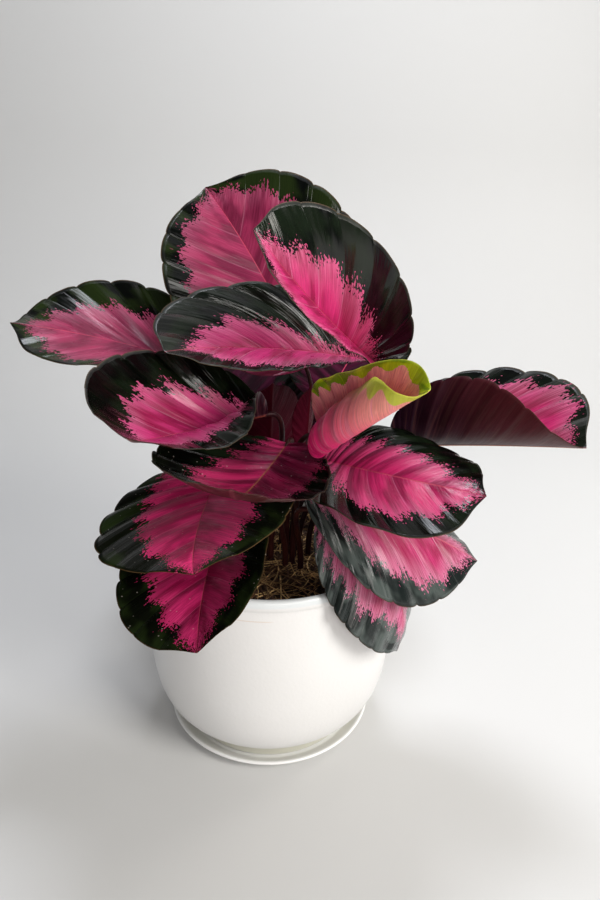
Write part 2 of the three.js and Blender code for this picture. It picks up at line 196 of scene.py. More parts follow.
def leafPatternGroup(pattern):
    # Colour, roughness and relief of a leaf's upper face
    tree, given, result = groupWith(
        "LeafPattern", ["Pink", "Pale Pink", "Deep Pink", "Green", "Deep Green", "Rib", "Margin"],
        [("Ragged", 1.0), ("Pallor And Sheen", 0.4), ("Dust", 0.0), ("Matt", 0.0)],
        [("Colour", "Color"), ("Gloss", "Float"), ("Height", "Float")])
    vein, place = readMark(tree, "vein", "Vector"), readMark(tree, "place", "Vector")
    alongVein, share, _ = put(tree, "ShaderNodeSeparateXYZ", {0: vein}).outputs
    along, fromRib, depth = put(tree, "ShaderNodeSeparateXYZ", {0: place}).outputs
    marginShare = calc(tree, "ABSOLUTE", share)

    def streaks(name):
        return veinStreaks(tree, vein, pattern, name)

    def reach(name, distance):
        # streaks as mm to either side of the border
        return calc(tree, "MULTIPLY", calc(tree, "SUBTRACT", streaks(name), 0.5), distance)

    # the pink area's ragged border: teeth along the veins, then small crumbs and islands
    teeth, islands = reach("teeth", pattern["teethDepth"]), reach("crumbs", pattern["crumbDepth"])
    ragged = calc(tree, "MULTIPLY", calc(tree, "ADD", teeth, islands), given["Ragged"])
    border = calc(tree, "ADD", depth, ragged)
    pinkMask = ramp(tree, border, -pattern["borderBlur"], pattern["borderBlur"])

    fine = streaks("fine")
    pink = mixColour(tree, ramp(tree, streaks("broad"), 0.38, 0.62), given["Deep Pink"], given["Pink"])
    # paler pink near the pink area's border and in the fine streaks: partly the leaf's own paler edge,
    # partly painted sheen
    pallorAndSheen = calc(tree, "MULTIPLY", ramp(tree, depth, 0.0, pattern["paleDepth"], 1.0, 0.1), given["Pallor And Sheen"])
    pallorAndSheen = calc(tree, "MULTIPLY", pallorAndSheen, ramp(tree, fine, 0.35, 0.65, 0.35, 1.3))
    pink = mixColour(tree, pallorAndSheen, pink, given["Pale Pink"])
    patches = ramp(tree, streaks("patches"), 0.42, 0.6)
    green = mixColour(tree, patches, given["Deep Green"], given["Green"])
    colour = mixColour(tree, pinkMask, green, pink)

    # side veins: thin paler lines in the creases between the bulges; beat is 0 in a crease
    turn = put(tree, "ShaderNodeMath", {0: alongVein, 1: float(bulges), 2: 0.5}, operation="MULTIPLY_ADD")
    beat = calc(tree, "SUBTRACT", calc(tree, "FRACT", turn.outputs[0]), 0.5)
    beat = calc(tree, "ABSOLUTE", beat)
    sideVein = ramp(tree, beat, *pattern["vein"], pattern["veinPaint"], 0.0)
    veinColour = mixColour(tree, pinkMask, given["Green"], given["Pale Pink"])
    colour = mixColour(tree, sideVein, colour, veinColour)
    midrib = ramp(tree, fromRib, *pattern["midrib"], 1.0, 0.0)
    midrib = calc(tree, "MULTIPLY", midrib, ramp(tree, along, 0.8, 1.0, 0.95, 0.2))
    colour = mixColour(tree, midrib, colour, given["Rib"])
    marginLine = ramp(tree, marginShare, *pattern["marginLine"], 0.0, 0.8)
    colour = mixColour(tree, marginLine, colour, given["Margin"])

    # the fine streaks make the colour a little lighter or darker; the tone mark adds painted light and
    # shade
    shade = ramp(tree, fine, 0.3, 0.7, 0.78, 1.12)
    colour = shadeColour(tree, colour, calc(tree, "MULTIPLY", shade, readMark(tree, "paintedLightAndTone", "Fac")))
    spot = put(tree, "ShaderNodeTexCoord").outputs["Object"]
    cells = put(tree, "ShaderNodeTexVoronoi", {"Vector": spot, "Scale": pattern["dustCells"]})
    speck = ramp(tree, cells.outputs["Distance"], *pattern["dustSize"], 1.0, 0.0)
    speck = calc(tree, "MULTIPLY", speck, given["Dust"])
    colour = mixColour(tree, speck, colour, paint(pattern["dustColour"]))

    rough = ramp(tree, streaks("polish"), 0.35, 0.65, *pattern["roughness"])
    rough = calc(tree, "ADD", rough, calc(tree, "MULTIPLY", pinkMask, pattern["pinkRoughness"]))
    dullRim = ramp(tree, marginShare, *pattern["dullRim"], 0.0, pattern["rimRoughness"])
    rough = calc(tree, "ADD", calc(tree, "ADD", rough, dullRim), given["Matt"])
    height = calc(tree, "MULTIPLY", fine, pattern["fineHeight"])
    height = calc(tree, "ADD", height, calc(tree, "MULTIPLY", streaks("pleats"), pattern["pleatHeight"]))
    height = calc(tree, "SUBTRACT", height, calc(tree, "MULTIPLY", sideVein, pattern["creaseDepth"]))
    height = calc(tree, "ADD", height, ramp(tree, beat, *pattern["bulge"], 0.0, pattern["bulgeHeight"]))
    height = calc(tree, "SUBTRACT", height, calc(tree, "MULTIPLY", midrib, pattern["ribDepth"]))
    tree.links.new(colour, result["Colour"])
    tree.links.new(rough, result["Gloss"])
    tree.links.new(height, result["Height"])
    return tree


def undersideGroup(pattern):
    # Colour and relief of the lower face: long pale stripes along the veins and a raised midrib
    tree, given, result = groupWith(
        "LeafUnderside", ["Near Stalk", "Near Tip", "Stripe", "Rib", "Edge"], [("Edge Share", 0.0)],
        [("Colour", "Color"), ("Height", "Float")])
    vein, place = readMark(tree, "vein", "Vector"), readMark(tree, "place", "Vector")
    along, fromRib, depth = put(tree, "ShaderNodeSeparateXYZ", {0: place}).outputs
    fine = veinStreaks(tree, vein, pattern, "fine")
    pleats = veinStreaks(tree, vein, pattern, "pleats")

    colour = mixColour(tree, ramp(tree, along, 0.1, 0.95), given["Near Stalk"], given["Near Tip"])
    stripe = veinStreaks(tree, vein, pattern, "stripes")
    stripe = ramp(tree, stripe, *pattern["stripe"], 0.0, pattern["stripePaint"])
    colour = mixColour(tree, stripe, colour, given["Stripe"])
    colour = shadeColour(tree, colour, ramp(tree, fine, 0.3, 0.7, 0.82, 1.15))
    outside = ramp(tree, depth, -pattern["borderBlur"], pattern["borderBlur"], 1.0, 0.0)
    outside = calc(tree, "MULTIPLY", outside, ramp(tree, along, *pattern["limeFrom"]))
    colour = mixColour(tree, calc(tree, "MULTIPLY", outside, given["Edge Share"]), colour, given["Edge"])
    colour = mixColour(tree, ramp(tree, fromRib, *pattern["midrib"], 0.9, 0.0), colour, given["Rib"])
    height = calc(tree, "ADD", calc(tree, "MULTIPLY", fine, pattern["fineHeight"]),
                  calc(tree, "MULTIPLY", pleats, pattern["pleatHeight"]))
    tree.links.new(colour, result["Colour"])
    tree.links.new(height, result["Height"])
    return tree


def upperFinish(name, group, look):
    material, tree, shader = newMaterial(name)
    face = placeGroup(tree, group, {
        "Pink": look["pink"], "Pale Pink": look["palePink"], "Deep Pink": look["deepPink"],
        "Green": look["green"], "Deep Green": look["deepGreen"], "Rib": look["rib"],
        "Margin": look["margin"], "Ragged": look["ragged"], "Pallor And Sheen": look["pallorAndSheen"],
        "Dust": look["dust"], "Matt": look["matt"]})
    dress(tree, shader, face["Colour"], face["Gloss"], bump(tree, face["Height"], look["relief"]))
    shader.inputs["Specular IOR Level"].default_value = look["shine"]
    return material


def lowerFinish(name, group, look):
    material, tree, shader = newMaterial(name)
    face = placeGroup(tree, group, {
        "Near Stalk": look["nearStalk"], "Near Tip": look["nearTip"], "Stripe": look["stripe"],
        "Rib": look["lowerRib"], "Edge": look["green"], "Edge Share": look["lowerEdge"]})
    relief = bump(tree, face["Height"], lowerPattern["relief"])
    dress(tree, shader, face["Colour"], look["lowerRoughness"], relief)
    shader.inputs["Specular IOR Level"].default_value = look["lowerShine"]
    return material


stalkLook = {
    "dark": "#220910", "light": "#351613", "streak": "#46241e", "streakCells": 900.0, "drawnOut": 0.12,
    "cloudCells": 30.0, "relief": 0.3, "roughness": 0.42, "shine": 0.15,
}


def stalkFinish(look):
    material, tree, shader = newMaterial("Stalk")
    spot = put(tree, "ShaderNodeTexCoord").outputs["Object"]
    drawn = put(tree, "ShaderNodeMapping", {"Vector": spot, "Scale": (1.0, 1.0, look["drawnOut"])})
    streak = noise(tree, drawn.outputs[0], look["streakCells"], 3.0)
    cloud = ramp(tree, noise(tree, spot, look["cloudCells"]), 0.4, 0.62)
    colour = mixColour(tree, cloud, paint(look["dark"]), paint(look["light"]))
    colour = mixColour(tree, ramp(tree, streak, 0.45, 0.7, 0.0, 0.4), colour, paint(look["streak"]))
    dress(tree, shader, colour, look["roughness"], bump(tree, streak, look["relief"]))
    shader.inputs["Specular IOR Level"].default_value = look["shine"]
    return material


# What all the leaves share, then what each kind changes
grownLook = {
    "pink": "#ca2a70", "palePink": "#e08cae", "deepPink": "#941244", "green": "#111a0e",
    "deepGreen": "#050705", "rib": "#b8405c", "margin": "#4a3822", "ragged": 1.0, "pallorAndSheen": 0.35,
    "relief": 0.6, "shine": 0.36, "dust": 0.0, "matt": 0.0, "nearStalk": "#2c0e1c",
    "nearTip": "#4a1a1c", "stripe": "#7a4a50", "lowerRib": "#a35a30", "lowerRoughness": 0.4,
    "lowerShine": 0.25, "lowerEdge": 0.0,
}
looks = {
    "bright": {"pink": "#c4266c", "pallorAndSheen": 0.32, "lowerRib": "#6a3028"},
    "soft": {"pink": "#c02060", "palePink": "#cc6a94", "deepPink": "#8a1040", "shine": 0.18},
    "muted": {
        "pink": "#962a50", "palePink": "#a85c78", "deepPink": "#6e1838", "green": "#1d280f",
        "shine": 0.14,
    },
    "shaded": {
        "pink": "#b01e56", "palePink": "#bc4c78", "deepPink": "#741036", "rib": "#a86848",
        "pallorAndSheen": 0.3, "shine": 0.18, "dust": 0.6, "lowerRib": "#6a2c34",
    },
    # grey-green margins and a paler pink: painted sheen of light on the glossy blades
    "paintedSheen": {
        "pink": "#b42862", "palePink": "#d894b2", "green": "#4a524f", "deepGreen": "#1a201f",
        "pallorAndSheen": 0.5, "shine": 0.3,
    },
    "dusk": {"nearStalk": "#1e0a18", "nearTip": "#4c2024", "stripe": "#4c2f2e", "lowerShine": 0.1},
    # the back leaves' look: near-black pinks, greens and undersides, painted shade for the dark inside of
    # the plant
    "paintedShade": {
        "pink": "#3c0c24", "palePink": "#48182c", "deepPink": "#1e0812", "green": "#0c120a",
        "shine": 0.04, "matt": 0.5, "nearStalk": "#280816", "nearTip": "#340c1e", "stripe": "#441426",
        "lowerRib": "#401020", "lowerShine": 0.08,
    },
    "crimson": {
        "pink": "#420818", "palePink": "#561428", "deepPink": "#2c0410", "shine": 0.04, "matt": 0.25,
        "nearStalk": "#400818", "nearTip": "#340814", "stripe": "#4c1022", "lowerRib": "#3c0814",
        "lowerShine": 0.03,
    },
    "mossy": {
        "pink": "#d62c70", "palePink": "#dc5c8c", "deepPink": "#a0164c", "green": "#1f2a13",
        "deepGreen": "#0c0f08", "pallorAndSheen": 0.15, "shine": 0.02, "dust": 0.3,
    },
    # the young leaf's own pale salmon and pink, drawn lighter still as painted light for light that shines
    # through the thin blade
    "young": {
        "pink": "#f68c98", "palePink": "#fcc0ac", "deepPink": "#ee7490", "green": "#b8ca20",
        "deepGreen": "#789c18", "rib": "#d8a060", "margin": "#b0b040", "ragged": 0.12, "pallorAndSheen": 0.5,
        "relief": 0.35, "nearStalk": "#f0287a", "nearTip": "#f6a090", "stripe": "#f08ca4",
        "lowerRib": "#d8707c", "lowerRoughness": 0.38, "lowerEdge": 0.85,
    },
}
leafPattern, underside = leafPatternGroup(upperPattern), undersideGroup(lowerPattern)
stalkSkin = stalkFinish(stalkLook)
finishes = {}
for lookName, changes in looks.items():
    look = {**grownLook, **changes}
    upper = upperFinish("Leaf" + lookName.capitalize(), leafPattern, look)
    lower = lowerFinish("Underside" + lookName.capitalize(), underside, look)
    finishes[lookName] = (upper, lower)
print("leaf finishes made")

# Leaves. Angles in degrees and lengths in mm, as in the solid model. Headings turn from +X through
# +Y. pinkLeft and pinkRight: how far the pink reaches from the midrib at 0, 0.2, 0.4, 0.6, 0.8 and
# 0.9 of the length, in shares of the half width; pinkEnd: the share of the length where it ends;
# tone: painted light and shade, how much lighter or darker the two halves are drawn; point: how far
# the tip is drawn out; bulge: how high the bulges are.
usualLeaf = {
    "pitch": 0, "roll": 0, "droop": 0, "sideBend": 0, "twist": 0, "lift": 0, "swing": 0.35,
    "rightShare": 1, "foldLeft": 15, "foldRight": 15, "unfold": -10, "curlLeft": 0, "curlRight": 0,
    "tipCurl": 0, "wave": 1.3, "bulge": 1.5, "point": 4.7, "look": "bright", "paintedLightAndTone": (1, 1),
    "pinkLeft": (0.5, 0.6, 0.64, 0.6, 0.4, 0.15), "pinkRight": (0.5, 0.6, 0.64, 0.6, 0.4, 0.15),
    "pinkEnd": 0.93,
}
leaves = {
    "LeafBackTop": {
        "node": "leaf_back_top", "base": (25, 70, 285), "foot": (8, 14), "heading": 148, "pitch": 62,
        "roll": -30, "droop": 15, "sideBend": 5, "length": 166, "halfWidth": 87, "foldLeft": 25,
        "foldRight": 5, "unfold": 0, "curlRight": 5, "bulge": 1.3, "look": "muted",
        "pinkLeft": (0.5, 0.57, 0.62, 0.64, 0.55, 0.35), "pinkRight": (0.6, 0.72, 0.77, 0.75, 0.6, 0.4),
        "pinkEnd": 0.98,
    },
    "LeafTopRight": {
        "node": "leaf_top_right", "base": (79, 28, 301), "foot": (22, 8), "heading": 220, "pitch": 36,
        "roll": -100, "droop": -5, "sideBend": 15, "twist": 25, "length": 162, "halfWidth": 59,
        "foldLeft": 60, "foldRight": 80, "unfold": -60, "curlLeft": 22, "curlRight": 20,
        "pinkLeft": (0, 0.26, 0.46, 0.48, 0.26, 0.11), "pinkRight": (0.7, 0.85, 0.9, 0.88, 0.8, 0.5),
        "pinkEnd": 0.97,
    },
    "LeafUpperLeft": {
        "node": "leaf_upper_left", "base": (74, 54, 297), "foot": (16, 18), "heading": 192, "pitch": 12,
        "roll": -36, "droop": 5, "sideBend": 50, "twist": 15, "length": 182, "halfWidth": 54,
        "foldLeft": 50, "foldRight": 50, "unfold": -40, "curlLeft": -5, "curlRight": -10,
        "paintedLightAndTone": (0.95, 1.1),
        "pinkLeft": (0, 0.12, 0.32, 0.46, 0.24, 0.1), "pinkRight": (0.6, 0.8, 0.88, 0.86, 0.6, 0),
        "pinkEnd": 0.9,
    },
    "LeafFarLeft": {
        "node": "leaf_far_left", "base": (-47, 53, 284), "foot": (-20, 14), "heading": 208, "pitch": 26,
        "roll": -10, "droop": 15, "sideBend": -10, "length": 154, "halfWidth": 68, "unfold": -30,
        "curlLeft": 60, "curlRight": 20, "look": "muted",
        "pinkLeft": (0.4, 0.5, 0.6, 0.66, 0.48, 0.28), "pinkRight": (0.4, 0.5, 0.53, 0.7, 0.66, 0.25),
        "pinkEnd": 0.95,
    },
    "LeafLeft": {
        "node": "leaf_left", "base": (-2, -32, 279), "foot": (-4, -4), "heading": 198, "pitch": -8,
        "roll": 16, "droop": -35, "sideBend": 85, "twist": -35, "swing": 0.2, "length": 150,
        "halfWidth": 62, "foldLeft": 40, "foldRight": 35, "unfold": -30, "curlLeft": 60,
        "paintedLightAndTone": (0.8, 0.66),
        "pinkLeft": (0, 0.42, 0.6, 0.57, 0, 0), "pinkRight": (0.5, 0.65, 0.74, 0.62, 0.5, 0),
        "pinkEnd": 0.87,
    },
    "LeafFront": {
        "node": "leaf_front", "base": (13, -45, 263), "foot": (0, -8), "heading": 244, "pitch": -20,
        "roll": 10, "droop": -60, "sideBend": 30, "twist": -15, "swing": 0.2, "length": 138,
        "halfWidth": 62, "rightShare": 0.8, "foldRight": 4, "curlLeft": 30, "curlRight": 25,
        # the darker look and the right half's tone of 0.45 are painted shade from the leaves above
        "look": "shaded", "paintedLightAndTone": (1.1, 0.45),
        "pinkLeft": (0.2, 0.38, 0.52, 0.6, 0, 0), "pinkRight": (0.5, 0.6, 0.6, 0.5, 0, 0),
        "pinkEnd": 0.8,
    },
    "LeafLowerLeft": {
        "node": "leaf_lower_left", "base": (-36, 10, 221), "foot": (-22, 2), "heading": 260,
        "pitch": -4, "roll": 18, "droop": -15, "sideBend": 20, "twist": -10, "length": 172,
        "halfWidth": 68, "foldLeft": 25, "foldRight": 24, "unfold": -15, "curlLeft": -20,
        # a tone above 1 is painted light on a blade that lies in the shade of the leaves above
        "curlRight": -15, "look": "mossy", "paintedLightAndTone": (1.35, 1.4),
        "pinkLeft": (0.5, 0.63, 0.62, 0.56, 0.4, 0.25), "pinkRight": (0.5, 0.6, 0.66, 0.62, 0.45, 0.25),
        "pinkEnd": 1.0,
    },
    "LeafOverRimLeft": {
        "node": "leaf_over_rim_left", "base": (-31, -32, 194), "foot": (-18, -12), "heading": 262,
        "roll": 24, "sideBend": 15, "twist": -5, "length": 146, "halfWidth": 56, "foldLeft": 30,
        "foldRight": 35, "unfold": -25, "curlLeft": 20, "curlRight": 5, "look": "mossy",
        "paintedLightAndTone": (0.85, 0.85),
        "pinkLeft": (0.5, 0.6, 0.68, 0.64, 0.36, 0.24), "pinkRight": (0.5, 0.6, 0.69, 0.66, 0.4, 0.2),
        "pinkEnd": 1.0,
    },
    "LeafRight": {
        "node": "leaf_right", "base": (38, -32, 245), "foot": (18, -6), "heading": -50, "pitch": 10,
        "roll": 22, "droop": 10, "sideBend": 25, "lift": 15, "length": 120, "halfWidth": 64,
        "foldLeft": 18, "foldRight": 30, "unfold": -30, "curlLeft": 35, "curlRight": -65,
        "look": "soft", "paintedLightAndTone": (0.9, 0.85),
        "pinkLeft": (0, 0.23, 0.56, 0.65, 0.46, 0.24),
        "pinkRight": (0.25, 0.36, 0.42, 0.38, 0.23, 0.14), "pinkEnd": 0.99,
    },
    "LeafLowerRight": {
        "node": "leaf_lower_right", "base": (22, -59, 234), "foot": (12, -20), "heading": 14,
        "pitch": -18, "roll": 16, "droop": 15, "sideBend": -10, "twist": 10, "length": 148,
        "halfWidth": 62, "foldLeft": 5, "foldRight": 5, "unfold": -25, "curlLeft": -25,
        "curlRight": -20, "look": "paintedSheen",
        "pinkLeft": (0, 0.4, 0.63, 0.66, 0.58, 0.32), "pinkRight": (0.2, 0.4, 0.4, 0.4, 0.35, 0.2),
        "pinkEnd": 0.97,
    },
    "LeafOverRimRight": {
        "node": "leaf_over_rim_right", "base": (35, -64, 220), "foot": (24, -24), "heading": -2,
        "pitch": -20, "roll": 28, "droop": 80, "twist": -5, "length": 138, "halfWidth": 52,
        "foldLeft": -20, "foldRight": -10, "unfold": 10, "curlLeft": -25, "curlRight": -15,
        "look": "paintedSheen",
        "pinkLeft": (0.2, 0.6, 0.65, 0.67, 0.22, 0.1), "pinkRight": (0.3, 0.4, 0.4, 0.4, 0.3, 0.1),
        "pinkEnd": 0.93,
    },
    "LeafFarRight": {
        "node": "leaf_far_right", "base": (96, 18, 238), "foot": (30, 0), "heading": -22, "pitch": 12,
        "roll": 12, "droop": -5, "sideBend": -35, "length": 146, "halfWidth": 68, "foldLeft": 40,
        "foldRight": 45, "curlLeft": 85, "curlRight": -15, "look": "dusk",
        "pinkLeft": (0.4, 0.6, 0.7, 0.75, 0.6, 0.4), "pinkRight": (0.6, 0.72, 0.76, 0.79, 0.72, 0.42),
        "pinkEnd": 0.94,
    },
    "LeafSmall": {
        "node": "leaf_small", "base": (-4, 30, 205), "foot": (-4, 12), "heading": -84, "pitch": 70,
        "roll": 10, "droop": -5, "sideBend": 5, "twist": 10, "length": 86, "halfWidth": 32,
        "foldLeft": 5, "foldRight": 10, "unfold": 5, "curlLeft": 5, "curlRight": 10, "wave": 0.6,
        "bulge": 0.6, "look": "crimson",
    },
    "LeafFurled": {
        "node": "leaf_furled", "base": (25, -23.5, 251.5), "foot": (17.2, -15.2), "heading": -42,
        "pitch": 85, "roll": 4, "swing": 0.16, "length": 45, "halfWidth": 13, "foldLeft": 0,
        "foldRight": 0, "unfold": 0, "curlLeft": 49, "curlRight": 49, "wave": 0.3, "bulge": 0.3,
        "look": "crimson",
    },
    "LeafBackLeft": {
        "node": "leaf_back_left", "base": (-14, 72, 238), "foot": (0, 26), "heading": 118, "pitch": 20,
        "droop": 35, "length": 150, "halfWidth": 62, "look": "paintedShade",
    },
    "LeafBackRight": {
        "node": "leaf_back_right", "base": (44, 76, 252), "foot": (8, 30), "heading": 72, "pitch": 24,
        "droop": 30, "length": 145, "halfWidth": 58, "look": "paintedShade",
    },
    "LeafBackLow": {
        "node": "leaf_back_low", "base": (10, 62, 218), "foot": (-14, 30), "heading": 100, "pitch": 25,
        "droop": 30, "length": 140, "halfWidth": 56, "look": "paintedShade",
    },
    "YoungLeaf": {
        "node": "young_leaf", "base": (38.5, -77, 276), "foot": (12, -10), "heading": -60, "pitch": 33,
        "roll": 53, "sideBend": -5, "twist": -58, "lift": 40, "swing": 0.4, "length": 113,
        "halfWidth": 41, "foldLeft": -26, "foldRight": 54, "curlLeft": 224, "curlRight": 17,
        "tipCurl": 177, "wave": 0.6, "bulge": 0.5, "look": "young",
        "pinkLeft": (0.75, 0.8, 0.8, 0.75, 0.6, 0.5), "pinkRight": (0.75, 0.78, 0.74, 0.7, 0.6, 0.4),
        "pinkEnd": 0.92,
    },
}
leafSeed = 5
pinkShape = {
    "steps": (-0.05, 0, 0.2, 0.4, 0.6, 0.8, 0.9), "samples": 101, "smoothing": 9,
    "lobe": 3.1, "lobesFrom": 12,    # mm
}
bladeShape = {
    "rows": 162, "half": 28, "crowding": 1.2,    # grid rows, columns of a half, closer at the midrib
    "early": 0.2, "veinPower": 3.2, "veinBend": 0.42, "veinRise": 0.52, "outlinePower": 0.86,
    "notch": 0.035, "bulgePower": 0.7, "waves": 7, "tipFrom": 0.93,
    "halfThickness": 0.38, "thinning": 0.75,     # mm, and the share that goes at the margin
    "ridge": 1.3, "paintedLightBlend": 8,                # mm
}
stalkShape = {
    "sides": 12, "stations": 33, "sunk": 20, "collar": 6, "rise": 0.4, "foot": 2.4, "taper": 0.7,
    "endRadii": (1.1, 0.5),
    "endPlaces": ((5, 0.7), (12, 1.0)),    # mm along the midrib and below it
}


def ribFrames(leaf, along):
    # The midrib's direction turns evenly: heading by sideBend, pitch by -droop, roll by twist
    heading = np.radians(leaf["heading"] + leaf["sideBend"] * along)
    pitch = np.radians(leaf["pitch"] - leaf["droop"] * along)
    roll = np.radians(leaf["roll"] + leaf["twist"] * along)[:, None]
    level = np.stack([-np.sin(heading), np.cos(heading), 0 * heading], 1)
    forward = np.stack([np.cos(pitch) * np.cos(heading), np.cos(pitch) * np.sin(heading), np.sin(pitch)], 1)
    raised = np.cross(forward, level)
    side = level * np.cos(roll) + raised * np.sin(roll)
    return forward, side, raised * np.cos(roll) - level * np.sin(roll)


def flatBlade(leaf, shape, vein, share, right):
    # A side vein leaves the midrib early, at 0.2 vein + 0.8 vein^3.2 of the length, and arcs forward
    # to the margin, whose outline is half width times sin(pi vein)^0.86, drawn in a little at each
    # crease between two bulges
    start = leaf["length"] * (shape["early"] * vein + (1 - shape["early"]) * vein ** shape["veinPower"])
    marginX = leaf["length"] * (1 - np.cos(np.pi * vein)) / 2
    marginY = leaf["halfWidth"] * np.where(right, leaf["rightShare"], 1)
    marginY = marginY * np.clip(np.sin(np.pi * vein), 0, 1) ** shape["outlinePower"]
    bendX = start + shape["veinBend"] * (marginX - start)
    x = (1 - share) ** 2 * start + 2 * share * (1 - share) * bendX + share ** 2 * marginX
    y = (shape["veinRise"] * 2 * share * (1 - share) + share ** 2) * marginY
    bulge = np.abs(np.sin(bulges * np.pi * vein)) ** shape["bulgePower"]
    notch = shape["notch"] * leaf["bulge"] / usualLeaf["bulge"]
    y = y * (1 - notch * share ** 4 * (1 - bulge) ** 1.6)
    return x, y, bulge


def bladeSurface(leaf, shape, vein, across):
    # The flat point is folded up at the midrib and bent on a circle of the half's curl. Then come
    # one bulge between two side veins, highest near the margin, and a slow wave.
    share, right = np.abs(across), across > 0
    x, y, bulge = flatBlade(leaf, shape, vein, share, right)
    along = x / leaf["length"]
    left = across < 0
    fold = np.radians(np.where(left, leaf["foldLeft"], leaf["foldRight"]) + leaf["unfold"] * along)
    curl = np.radians(np.where(left, leaf["curlLeft"], leaf["curlRight"] + leaf["tipCurl"] * along))
    bend = np.where(np.abs(curl) < 0.02, 0.02, curl) / leaf["halfWidth"]
    turn = fold + bend * y
    outward = (np.sin(turn) - np.sin(fold)) / bend
    upward = (np.cos(fold) - np.cos(turn)) / bend

    steps = np.linspace(0, 1, 49)
    forward, side, normal = ribFrames(leaf, steps)
    stride = (forward[:-1] + forward[1:]) / 2 * leaf["length"] / 48
    midrib = np.asarray(leaf["base"], float) + np.vstack([[0, 0, 0], np.cumsum(stride, 0)])

    def at(values):
        return np.stack([np.interp(along, steps, values[:, k]) for k in range(3)], -1)
    half = np.where(left, -1.0, 1.0)[..., None] * at(side)
    height = leaf["bulge"] * (bulge - 0.6) * (0.2 + 0.8 * share) * np.minimum(1, 8 * share)
    wave = np.cos(2 * shape["waves"] * np.pi * vein) * np.minimum(1, 1.6 * share)
    height = (height - 0.5 * leaf["wave"] * wave) * np.clip(np.sin(np.pi * vein), 0, 1) ** 0.5
    faceUp = at(normal) * np.cos(turn)[..., None] - half * np.sin(turn)[..., None]
    point = at(midrib) + half * outward[..., None] + at(normal) * upward[..., None]
    point = point + faceUp * height[..., None]
    tip = np.clip((vein - shape["tipFrom"]) / (1 - shape["tipFrom"]), 0, 1) ** 2.5
    return point + at(forward) * (leaf["point"] * tip)[..., None], along, y


def pinkDepth(leaf, shape, vein, across, along, fromRib):
    # mm inside the pink area, measured square to its border, with one lobe on each bulge
    steps = np.array(shape["steps"])
    inside = steps < leaf["pinkEnd"]
    knots = np.append(steps[inside], leaf["pinkEnd"])
    fine = np.linspace(0, 1, shape["samples"])
    window = shape["smoothing"]

    def reach(shares):
        line = np.interp(fine, knots, np.append(np.array([shares[0], *shares])[inside], 0.0))
        line = np.where(fine > leaf["pinkEnd"], (leaf["pinkEnd"] - fine) * 4, line)
        line = np.convolve(np.pad(line, window // 2, mode="edge"), np.ones(window) / window, mode="valid")
        slope = np.hypot(1, np.gradient(line, fine) * leaf["halfWidth"] / leaf["length"])
        return np.interp(along, fine, line), np.interp(along, fine, slope)
    (leftReach, leftSlope), (rightReach, rightSlope) = reach(leaf["pinkLeft"]), reach(leaf["pinkRight"])
    left = across < 0
    depth = np.where(left, leftReach, rightReach) * leaf["halfWidth"] - fromRib
    lobes = shape["lobe"] * np.cos(2 * bulges * np.pi * vein + np.pi)
    lobes = lobes * np.clip(fromRib / shape["lobesFrom"], 0, 1)
    return depth / np.where(left, leftSlope, rightSlope) + lobes


def bladeFaces(rows, width):
    # One face's grid, row by row, ends in a heel and a tip point; the other face follows it, turned
    # round, and a wall joins the two rims.
    count = rows * width + 2
    heel, tip = count - 2, count - 1
    i, j = np.meshgrid(np.arange(rows - 1), np.arange(width - 1), indexing="ij")
    corner = (i * width + j).ravel()
    quads = np.stack([corner, corner + width, corner + width + 1, corner + 1], 1)
    j = np.arange(width - 1)
    last = (rows - 1) * width
    heelFan = np.stack([0 * j + heel, j, j + 1], 1)
    tipFan = np.stack([0 * j + tip, last + j + 1, last + j], 1)
    fans = np.vstack([heelFan, tipFan])
    rim = np.concatenate([np.arange(rows) * width, [tip], (np.arange(rows)[::-1] + 1) * width - 1, [heel]])
    nextRim = np.roll(rim, -1)
    wall = np.stack([nextRim, rim, rim + count, nextRim + count], 1)
    side = len(quads) + len(fans)
    kinds = [0] * side + [1] * side + [0] * len(wall)
    return [quads, fans, quads[:, ::-1] + count, fans[:, ::-1] + count, wall], kinds


